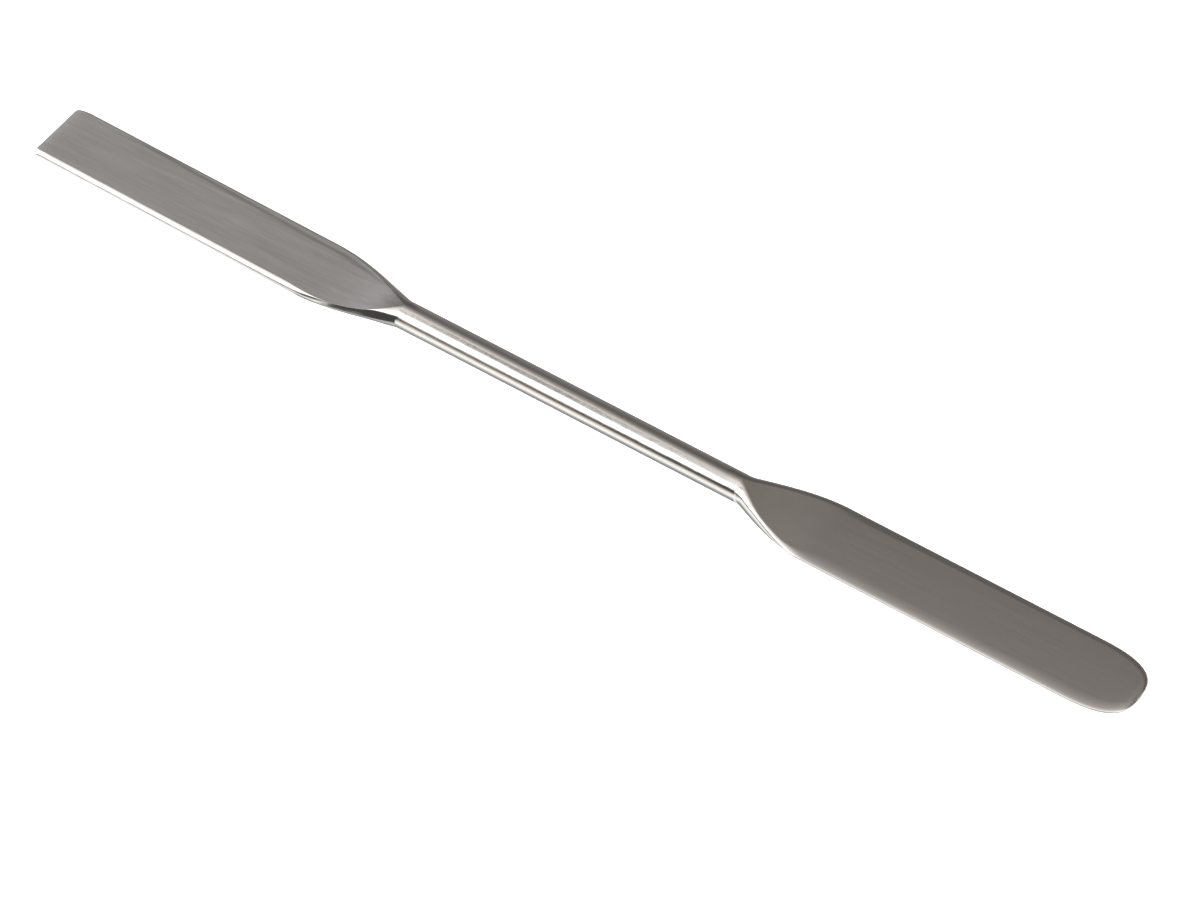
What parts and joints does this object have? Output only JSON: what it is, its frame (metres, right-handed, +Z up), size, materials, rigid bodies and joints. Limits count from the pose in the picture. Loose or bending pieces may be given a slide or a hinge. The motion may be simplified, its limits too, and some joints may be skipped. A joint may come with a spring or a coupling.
{
  "type": "lab spatula",
  "caption": "Double-ended steel laboratory spatula: a round rod handle between a flat blade with a square end and a thinner flat blade with a round end.",
  "frame": {"origin": "under the middle of the length, on the surface that the rod lies on", "axes": "+X along the rod from the square end to the round end, +Y across the blades, +Z up, square to the blades' faces"},
  "size_m": [0.15, 0.0094, 0.0035],
  "materials": {
    "steel": "fine lengthwise grinding marks on the blades, drawn and polished rod"
  },
  "bodies": {
    "root": {"spatula": "steel"}
  },
  "joints": []
}
